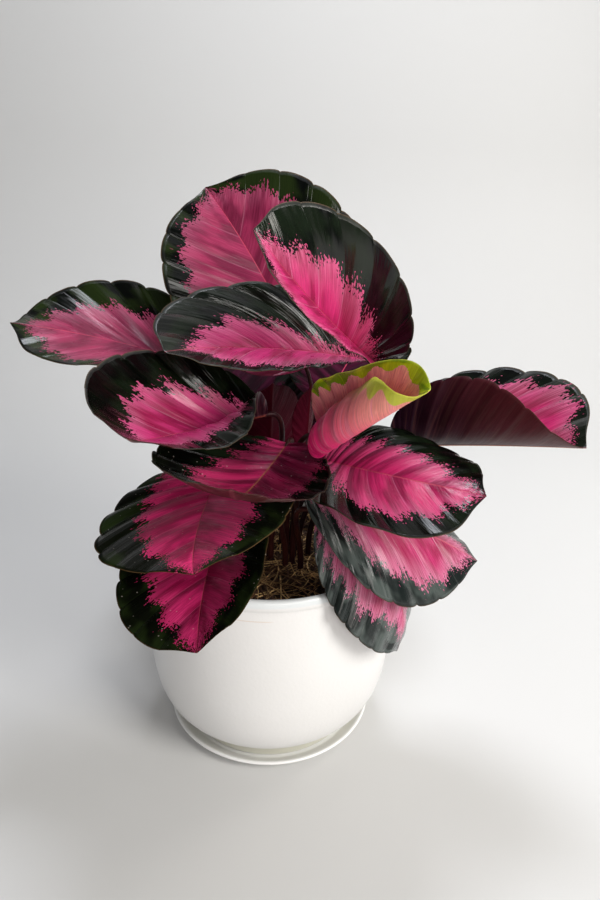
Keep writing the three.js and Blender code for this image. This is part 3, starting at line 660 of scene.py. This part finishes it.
def bladeMesh(leaf, shape, draw):
    # Both faces share one grid of (vein, across); they stand off from it along its normal by half
    # the thickness, which thins to the margin, and the lower face bulges along the midrib.
    vein = np.linspace(0, 1, shape["rows"] + 1)[1:-1]
    across = np.linspace(0, 1, shape["half"] + 1) ** shape["crowding"]
    across = np.concatenate([-across[:0:-1], across])
    s, t = np.meshgrid(vein, across, indexing="ij")
    middle, along, fromRib = bladeSurface(leaf, shape, s, t)
    up = np.cross(np.gradient(middle, axis=0), np.gradient(middle, axis=1))
    up /= np.linalg.norm(up, axis=-1, keepdims=True)
    thin = shape["halfThickness"] * (1 - shape["thinning"] * np.abs(t) ** 8)
    ridge = shape["ridge"] * np.clip(1.02 - along, 0, 1) ** 0.8 * np.exp(-(fromRib / 1.3) ** 2)
    ends = bladeSurface(leaf, shape, np.array([0.0, 1.0]), np.array([0.0, 0.0]))[0]
    endUp = ribFrames(leaf, np.array([0.0, 1.0]))[2]
    top = np.vstack([(middle + up * thin[..., None]).reshape(-1, 3), ends + endUp * 0.2])
    bottom = np.vstack([(middle - up * (thin + ridge)[..., None]).reshape(-1, 3), ends - endUp * 0.2])
    faces, kinds = bladeFaces(vein.size, across.size)

    depth = pinkDepth(leaf, pinkShape, s, t, along, fromRib)
    veinMark = np.stack([s, t, np.full_like(s, draw)], -1).reshape(-1, 3)
    veinMark = np.vstack([veinMark, [[0, 0, draw], [1, 0, draw]]])
    placeMark = np.stack([along, fromRib, depth], -1).reshape(-1, 3)
    placeMark = np.vstack([placeMark, [[0, 0, 5], [1, 0, -5]]])
    # the painted light and shade of the tone mark changes from one half to the other over some millimetres
    # at the midrib
    toRight = np.clip(0.5 + np.where(t < 0, -1, 1) * fromRib / shape["paintedLightBlend"], 0, 1)
    paintedLightMark = (leaf["paintedLightAndTone"][0] * (1 - toRight) + leaf["paintedLightAndTone"][1] * toRight).ravel()
    marks = {"vein": veinMark, "place": placeMark, "paintedLightAndTone": np.append(paintedLightMark, leaf["paintedLightAndTone"])}
    return np.vstack([top, bottom]), faces, kinds, {key: np.concatenate([v, v]) for key, v in marks.items()}


def tubeWalls(bands, sides):
    # quads between rings of points, all rings in one row of numbers
    i, j = np.meshgrid(np.arange(bands), np.arange(sides), indexing="ij")
    a, b = (i * sides + j).ravel(), (i * sides + (j + 1) % sides).ravel()
    return np.stack([a, b, b + sides, a + sides], 1)


def stalkMesh(leaf, shape):
    # A tube along the stalk's path: straight up out of the soil, then a cubic arc to the blade.
    # Each ring's frame is the last one turned to the path's new direction.
    forward, _, normal = (v[0] for v in ribFrames(leaf, np.array([0.0])))
    foot = np.array([*leaf["foot"], soilTop - shape["sunk"]])
    collar = np.array([*leaf["foot"], soilTop + shape["collar"]])
    base = np.asarray(leaf["base"], float)
    reach = np.linalg.norm(base - collar)
    rise = collar + [0, 0, shape["rise"] * reach]
    pull = base - forward * leaf["swing"] * reach + [0, 0, leaf["lift"]]
    u = np.linspace(0, 1, shape["stations"])[:, None]
    arc = (1 - u) ** 3 * collar + 3 * u * (1 - u) ** 2 * rise + 3 * u ** 2 * (1 - u) * pull + u ** 3 * base
    ends = [base + forward * ahead - normal * below for ahead, below in shape["endPlaces"]]
    path = np.vstack([foot, arc, *ends])
    tangent = np.gradient(path, axis=0)
    tangent /= np.linalg.norm(tangent, axis=1, keepdims=True)
    across = np.zeros_like(path)
    across[0] = [1, 0, 0]
    for k in range(1, len(path)):
        turned = across[k - 1] - tangent[k] * (across[k - 1] @ tangent[k])
        across[k] = turned / np.linalg.norm(turned)
    second = np.cross(tangent, across)
    radius = shape["foot"] - shape["taper"] * np.linspace(0, 1, len(path))
    radius[-2:] = shape["endRadii"]
    sides = shape["sides"]
    angle = np.arange(sides) * 2 * np.pi / sides
    ring = across[:, None] * np.cos(angle)[:, None] + second[:, None] * np.sin(angle)[:, None]
    points = (path[:, None] + ring * radius[:, None, None]).reshape(-1, 3)
    caps = [np.arange(sides)[::-1][None], (np.arange(sides) + (len(path) - 1) * sides)[None]]
    return points, [tubeWalls(len(path) - 1, sides), *caps]


def buildLeaf(name, own, draw):
    leaf = {**usualLeaf, **own}
    points, faces, kinds, marks = bladeMesh(leaf, bladeShape, draw)
    tube, tubeFaces = stalkMesh(leaf, stalkShape)
    faces += [block + len(points) for block in tubeFaces]
    kinds += [2] * sum(len(block) for block in tubeFaces)
    marks = {key: np.concatenate([v, np.zeros((len(tube), *v.shape[1:]))]) for key, v in marks.items()}
    meshPiece(name, np.vstack([points, tube]), faces, [*finishes[leaf["look"]], stalkSkin],
              leaf["node"], kinds, marks)


draws = np.random.default_rng(leafSeed).uniform(0, 1, len(leaves))
for (name, own), draw in zip(leaves.items(), draws):
    buildLeaf(name, own, draw)
print("leaves built:", len(leaves))


# Pot and saucer. Profiles are (radius, height) in mm; bands are (level, reach, tint, strength).
potShape = {
    "profile": [
        (65, 4.3), (70.5, 4.3), (72, 5.6), (73, 15), (76.5, 18), (81, 21), (91, 31.5), (97, 48),
        (99.7, 69), (100, 90), (99.5, 112), (98.5, 133), (97, 150), (96.2, 158.5), (97.2, 160.2),
        (97.2, 165), (96, 166.9), (94, 167.5), (92.4, 166.9), (91.4, 165), (91.5, 158), (93.5, 133),
        (94.8, 100), (94.6, 70), (92, 50), (86.5, 36), (78, 28), (70, 26), (5, 26), (5, 20), (62, 18),
        (64, 15)],
    "sides": 192, "white": "#dfdedd", "cloud": "#dad9d7",
    # the bluish band at the lip is painted reflection and shade, the fine broken tan line under the rim is
    # dirt, and the grey band at the foot is painted shade in the recess above the saucer
    "bands": [(166, 4.5, "#d5dbdd", 0.8), (151.5, 0.5, "#c8a888", 0.35), (12, 9, "#b9b8a4", 0.7)],
}
saucerShape = {
    "profile": [
        (0, 0), (65, 0), (72, 1.2), (79.5, 4.4), (85, 8.4), (86, 10), (85, 11.2), (83, 10.8),
        (78.5, 7.4), (74.5, 4.6), (72.8, 4), (0, 4)],
    "sides": 192, "white": "#eaeae9", "cloud": "#e2e1df", "bands": [],
}
glazePattern = {
    "cloudCells": 14.0, "cloudPaint": 0.35, "speckCells": 240.0, "speckSize": (0.05, 0.09),
    "speckPaint": 0.12, "speckColour": "#c9bfae", "polishCells": 40.0, "roughness": (0.29, 0.33),
    "peelCells": 350.0, "relief": 0.12, "coat": 0.25, "coatRoughness": 0.2, "breakCells": 30.0,
}


def rounded(profile, closed, turns=3):
    # corner cutting: each turn puts two points at a quarter and three quarters of every side
    points = np.asarray(profile, float)
    for _ in range(turns):
        ahead = np.roll(points, -1, 0)
        near, far = 0.75 * points + 0.25 * ahead, 0.25 * points + 0.75 * ahead
        cut = np.stack([near, far], 1).reshape(-1, 2)
        points = cut if closed else np.vstack([points[:1], cut[:-2], points[-1:]])
    return points


def turnedMesh(profile, sides, closed):
    # The rounded profile (radius, height) is carried round the axis; an open one begins and ends on it
    points = rounded(profile, closed)
    angle = np.arange(sides) * 2 * np.pi / sides
    body = points if closed else points[1:-1]
    count = len(body)
    r, z = body[:, :1], body[:, 1:]
    ring = np.stack([r * np.cos(angle), r * np.sin(angle), np.broadcast_to(z, (count, sides))], -1)
    ring = ring.reshape(-1, 3)
    walls = tubeWalls(count if closed else count - 1, sides) % (count * sides)
    if closed:
        return ring, [walls]
    j = np.arange(sides)
    start, end, last = len(ring), len(ring) + 1, (count - 1) * sides
    ring = np.vstack([ring, [0, 0, points[0, 1]], [0, 0, points[-1, 1]]])
    startCap = np.stack([0 * j + start, (j + 1) % sides, j], 1)
    endCap = np.stack([0 * j + end, last + j, last + (j + 1) % sides], 1)
    return ring, [walls, startCap, endCap]


def glazeGroup(pattern):
    # White glaze: faint clouding, fine orange-peel relief and pin specks
    tree, given, result = groupWith(
        "Glaze", ["White", "Cloud"], [], [("Colour", "Color"), ("Gloss", "Float"), ("Height", "Float")])
    spot = put(tree, "ShaderNodeTexCoord").outputs["Object"]
    cloud = ramp(tree, noise(tree, spot, pattern["cloudCells"], 4.0), 0.35, 0.7, 0.0, pattern["cloudPaint"])
    colour = mixColour(tree, cloud, given["White"], given["Cloud"])
    cells = put(tree, "ShaderNodeTexVoronoi", {"Vector": spot, "Scale": pattern["speckCells"]})
    speck = ramp(tree, cells.outputs["Distance"], *pattern["speckSize"], pattern["speckPaint"], 0.0)
    colour = mixColour(tree, speck, colour, paint(pattern["speckColour"]))
    polish = ramp(tree, noise(tree, spot, pattern["polishCells"], 3.0), 0.3, 0.7, *pattern["roughness"])
    tree.links.new(colour, result["Colour"])
    tree.links.new(polish, result["Gloss"])
    tree.links.new(noise(tree, spot, pattern["peelCells"], 2.0), result["Height"])
    return tree


def glazeFinish(name, group, shape, pattern):
    material, tree, shader = newMaterial(name)
    glaze = placeGroup(tree, group, {"White": shape["white"], "Cloud": shape["cloud"]})
    colour = glaze["Colour"]
    spot = put(tree, "ShaderNodeTexCoord").outputs["Object"]
    height = put(tree, "ShaderNodeSeparateXYZ", {0: spot}).outputs[2]
    # bands of tint round the pot: painted reflection and shade at the lip and foot, and a dirt line under
    # the rim
    for level, reach, tint, strength in shape["bands"]:
        away = calc(tree, "ABSOLUTE", calc(tree, "SUBTRACT", height, level * mm))
        band = ramp(tree, away, reach * mm * 0.6, reach * mm, strength, 0.0)
        if reach < 1:    # a fine line is broken up
            broken = ramp(tree, noise(tree, spot, pattern["breakCells"], 3.0), 0.45, 0.6)
            band = calc(tree, "MULTIPLY", band, broken)
        colour = mixColour(tree, band, colour, paint(tint))
    dress(tree, shader, colour, glaze["Gloss"], bump(tree, glaze["Height"], pattern["relief"]))
    shader.inputs["Coat Weight"].default_value = pattern["coat"]
    shader.inputs["Coat Roughness"].default_value = pattern["coatRoughness"]
    return material


glaze = glazeGroup(glazePattern)
for name, node, shape, closed in (("Pot", "pot", potShape, True), ("Saucer", "saucer", saucerShape, False)):
    points, faces = turnedMesh(shape["profile"], shape["sides"], closed)
    skin = glazeFinish(name + "Glaze", glaze, shape, glazePattern)
    meshPiece(name, points, faces, [skin], node)
print("pot and saucer built")


# Soil and straw
soilShape = {
    "profile": [
        (0, 26.6), (69, 26.6), (77, 29), (85.5, 37), (91, 51), (93.6, 70), (93.9, 100), (92.6, 133),
        (91.2, 145), (90, 146.5)],
    "sides": 144, "rings": 60, "seed": 3, "crumb": 1.1, "waves": 60, "waveLength": (3, 22), "highest": 1.6,
    "dark": "#281b13", "light": "#5c4230", "fleck": "#86694a", "grainCells": 420.0, "fleckCells": 900.0,
    "roughness": 0.95,
}
strawShape = {
    "count": 640, "seed": 8, "stations": 8, "sides": 4, "reach": 84, "lowest": 148.6, "highest": 151.2,
    "length": (10, 46), "bow": 0.09, "arch": (-0.8, 1.1), "radius": (0.32, 0.8), "flatness": 0.7,
    "dark": "#563418", "light": "#f6cc8c", "stain": "#36221a", "stainCells": 160.0,
    "grainCells": 1500.0, "roughness": 0.75,
}


def crumbHeight(shape, x, y):
    # a sum of plane waves in seeded directions, with the long ones highest
    rng = np.random.default_rng(shape["seed"])
    count, longest = shape["waves"], shape["waveLength"][1]
    angle, length = rng.uniform(0, np.pi, count), rng.uniform(*shape["waveLength"], count)
    phase = rng.uniform(0, 2 * np.pi, count)
    across = x[..., None] * np.cos(angle) + y[..., None] * np.sin(angle)
    waves = np.sin(across * 2 * np.pi / length + phase)
    return (waves * np.sqrt(length / longest)).sum(-1) / math.sqrt(count) * 1.4


def soilMesh(shape):
    # the filled body is turned; its top is more rings, lifted by the crumbs
    side = rounded(shape["profile"], False, 2)
    radius = np.linspace(shape["profile"][-1][0], 0, shape["rings"])[1:]
    top = np.stack([radius, np.full_like(radius, soilTop - 1)], 1)
    points, faces = turnedMesh(np.vstack([side, top]), shape["sides"], False)
    lifted = np.clip((points[:, 2] - (soilTop - 2)) / 1.0, 0, 1)
    points[:, 2] += lifted * shape["crumb"] * crumbHeight(shape, points[:, 0], points[:, 1])
    points[:, 2] = np.minimum(points[:, 2], soilTop + shape["highest"])
    return points, faces


def strawMesh(shape):
    # Every straw is a thin tube on a shallow arc, all worked out together:
    # centre + (u - 1/2) length direction + bow (2u - 1)^2 across, and an arch in height.
    rng = np.random.default_rng(shape["seed"])
    count, stations, sides = shape["count"], shape["stations"], shape["sides"]
    length = rng.uniform(*shape["length"], count)
    spin = rng.uniform(0, 2 * np.pi, count)
    bow = rng.normal(0, shape["bow"], count) * length
    distance = np.sqrt(rng.uniform(0, 1, count)) * (shape["reach"] - length / 2 - 1)
    place = rng.uniform(0, 2 * np.pi, count)
    level = rng.uniform(shape["lowest"], shape["highest"] - 0.9, count)
    u = np.linspace(0, 1, stations)
    ends = (2 * u - 1) ** 2
    direction = np.stack([np.cos(spin), np.sin(spin), 0 * spin], 1)
    across = np.stack([-np.sin(spin), np.cos(spin), 0 * spin], 1)
    centre = np.stack([distance * np.cos(place), distance * np.sin(place), level], 1)
    path = (centre[:, None] + (u - 0.5)[:, None] * (length[:, None] * direction)[:, None]
            + ends[:, None] * (bow[:, None] * across)[:, None])
    path[..., 2] += rng.uniform(*shape["arch"], count)[:, None] * (1 - ends)
    path[..., 2] = np.minimum(path[..., 2], shape["highest"])
    radius = rng.uniform(*shape["radius"], count)[:, None] * (1 - 0.5 * u)
    angle = np.arange(sides) * 2 * np.pi / sides
    flat = np.array([0, 0, shape["flatness"]])
    ring = across[:, None] * np.cos(angle)[:, None] + flat * np.sin(angle)[:, None]
    points = path[:, :, None] + ring[:, None] * radius[..., None, None]
    starts = np.arange(count)[:, None] * stations * sides
    walls = (starts[..., None] + tubeWalls(stations - 1, sides)).reshape(-1, 4)
    startRing = starts + np.arange(sides)
    paintedLightAndTone = np.repeat(rng.uniform(0, 1, count), stations * sides)
    return points.reshape(-1, 3), [walls, startRing[:, ::-1], startRing + (stations - 1) * sides], paintedLightAndTone


def soilFinish(shape):
    material, tree, shader = newMaterial("Soil")
    spot = put(tree, "ShaderNodeTexCoord").outputs["Object"]
    grain = noise(tree, spot, shape["grainCells"], 5.0, 0.65)
    colour = mixColour(tree, ramp(tree, grain, 0.4, 0.65), paint(shape["dark"]), paint(shape["light"]))
    fleck = ramp(tree, noise(tree, spot, shape["fleckCells"], 2.0), 0.66, 0.72, 0.0, 0.7)
    colour = mixColour(tree, fleck, colour, paint(shape["fleck"]))
    dress(tree, shader, colour, shape["roughness"], bump(tree, grain, 1.0, 2 * mm))
    return material


def strawFinish(shape):
    material, tree, shader = newMaterial("Straw")
    spot = put(tree, "ShaderNodeTexCoord").outputs["Object"]
    paintedLightAndTone = ramp(tree, readMark(tree, "paintedLightAndTone", "Fac"), 0.25, 0.95)
    colour = mixColour(tree, paintedLightAndTone, paint(shape["dark"]), paint(shape["light"]))
    stain = ramp(tree, noise(tree, spot, shape["stainCells"], 3.0), 0.4, 0.65, 0.0, 0.45)
    colour = mixColour(tree, stain, colour, paint(shape["stain"]))
    relief = bump(tree, noise(tree, spot, shape["grainCells"]), 0.4, 0.3 * mm)
    dress(tree, shader, colour, shape["roughness"], relief)
    return material


points, faces = soilMesh(soilShape)
meshPiece("SoilBed", points, faces, [soilFinish(soilShape)], "soil")
points, faces, paintedLightAndTone = strawMesh(strawShape)
meshPiece("StrawFibres", points, faces, [strawFinish(strawShape)], "straw_mulch",
          marks={"paintedLightAndTone": paintedLightAndTone})
print("soil and straw built")


# Floor, lights and camera, in metres
studio = {
    "floor": "#cccccb", "floorRoughness": 0.6, "world": "#cfd4da", "worldStrength": 0.21,
    "wallPlace": 1.15, "bendRadius": 0.5, "reach": 6.0, "wallTop": 4.0,
    "lights": [
        # name, place, aim, width, height, power, colour
        ("WindowRight", (1.35, -1.15, 1.35), (0.0, 0.0, 0.22), 0.8, 1.0, 41, "#fffcf7"),
        ("FillFront", (0.3, -1.3, 0.55), (-0.05, 0.0, 0.22), 0.7, 0.5, 6, "#fff8f2"),
        ("SkyAbove", (0.1, 0.45, 1.7), (0.0, 0.0, 0.3), 0.5, 0.35, 15, "#f4f7ff"),
        ("EdgeRight", (1.1, 0.55, 0.75), (0.05, 0.0, 0.3), 0.35, 0.6, 4, "#fffaf2"),
        ("WallWash", (0.9, 0.2, 2.6), (0.0, 1.2, 0.6), 1.6, 0.8, 4, "#ffffff"),
    ],
}
view = {
    "place": (0.0215, -0.479, 0.436), "down": 22.3, "roll": 1.35,    # degrees
    "sensor": 36.0, "lens": 27.04, "clipStart": 0.02, "clipEnd": 50,
}


def floorPiece(look):
    # one sheet: the floor, a quarter bend, then the wall behind
    y, radius, reach = look["wallPlace"], look["bendRadius"], look["reach"]
    turn = np.linspace(0, np.pi / 2, 13)
    bend = zip(y - radius + radius * np.sin(turn), radius - radius * np.cos(turn))
    line = [(-reach, 0.0), *bend, (y, look["wallTop"])]
    points = [(x, b, c) for b, c in line for x in (-reach, reach)]
    faces = [(2 * k, 2 * k + 1, 2 * k + 3, 2 * k + 2) for k in range(len(line) - 1)]
    mesh = bpy.data.meshes.new("Floor")
    mesh.from_pydata(points, [], faces)
    mesh.polygons.foreach_set("use_smooth", [True] * len(faces))
    material, _, shader = newMaterial("FloorPaint")
    shader.inputs["Base Color"].default_value = paint(look["floor"])
    shader.inputs["Roughness"].default_value = look["floorRoughness"]
    mesh.materials.append(material)
    floor = bpy.data.objects.new("Floor", mesh)
    bpy.context.scene.collection.objects.link(floor)


def lightPiece(name, place, aim, width, height, power, tint):
    lamp = bpy.data.lights.new(name, "AREA")
    lamp.shape, lamp.size, lamp.size_y = "RECTANGLE", width, height
    lamp.energy = power
    lamp.color = paint(tint)[:3]
    obj = bpy.data.objects.new(name, lamp)
    obj.location = place
    obj.rotation_euler = (Vector(aim) - Vector(place)).to_track_quat("-Z", "Y").to_euler()
    bpy.context.scene.collection.objects.link(obj)


def cameraPiece(look):
    # looks along +Y and down, rolled a little
    pitch, roll = math.radians(look["down"]), math.radians(look["roll"])
    ahead = Vector((0, math.cos(pitch), -math.sin(pitch)))
    level, raised = Vector((1, 0, 0)), Vector((0, math.sin(pitch), math.cos(pitch)))
    right = level * math.cos(roll) + raised * math.sin(roll)
    up = raised * math.cos(roll) - level * math.sin(roll)
    data = bpy.data.cameras.new("Camera")
    data.sensor_width, data.lens = look["sensor"], look["lens"]
    data.clip_start, data.clip_end = look["clipStart"], look["clipEnd"]
    camera = bpy.data.objects.new("Camera", data)
    turned = Matrix((right, up, -ahead)).transposed().to_4x4()
    camera.matrix_world = Matrix.Translation(look["place"]) @ turned
    bpy.context.scene.collection.objects.link(camera)
    bpy.context.scene.camera = camera


floorPiece(studio)
for row in studio["lights"]:
    lightPiece(*row)
cameraPiece(view)
bpy.context.scene.view_settings.view_transform = "Standard"
world = bpy.data.worlds.new("Studio")
world.use_nodes = True
sky = world.node_tree.nodes["Background"]
sky.inputs["Color"].default_value = paint(studio["world"])
sky.inputs["Strength"].default_value = studio["worldStrength"]
bpy.context.scene.world = world
print("floor, lights and camera set")
